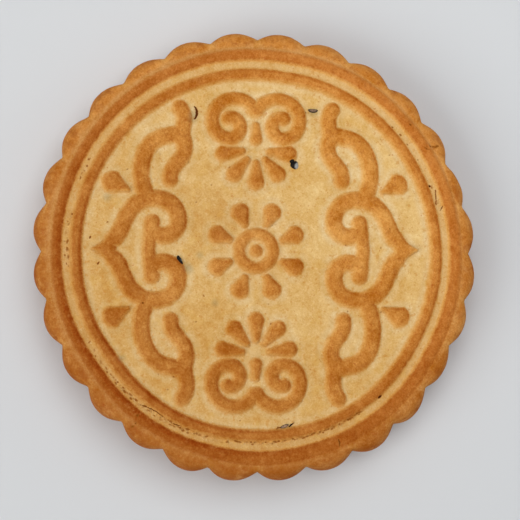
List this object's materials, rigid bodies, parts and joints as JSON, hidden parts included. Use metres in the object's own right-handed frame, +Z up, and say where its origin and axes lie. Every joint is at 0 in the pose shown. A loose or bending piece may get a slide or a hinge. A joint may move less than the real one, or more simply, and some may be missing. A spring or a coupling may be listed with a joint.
{
  "type": "five nut mooncake",
  "caption": "Large round baked mooncake with a hard golden crust, a fluted wall, rings round the edge and a raised scroll and flower ornament on its pale domed face.",
  "frame": {"origin": "middle of the underside, on the surface that the cake lies on", "axes": "+Z up out of the moulded face, +Y towards the top of the ornament, +X to the right of the ornament seen from above"},
  "size_m": [0.153, 0.1554, 0.0237],
  "materials": {
    "crust": "baked wheat crust, dry and matt, pale in the recesses and browned on the raised parts"
  },
  "bodies": {
    "root": {"mooncake": "crust"}
  },
  "joints": []
}
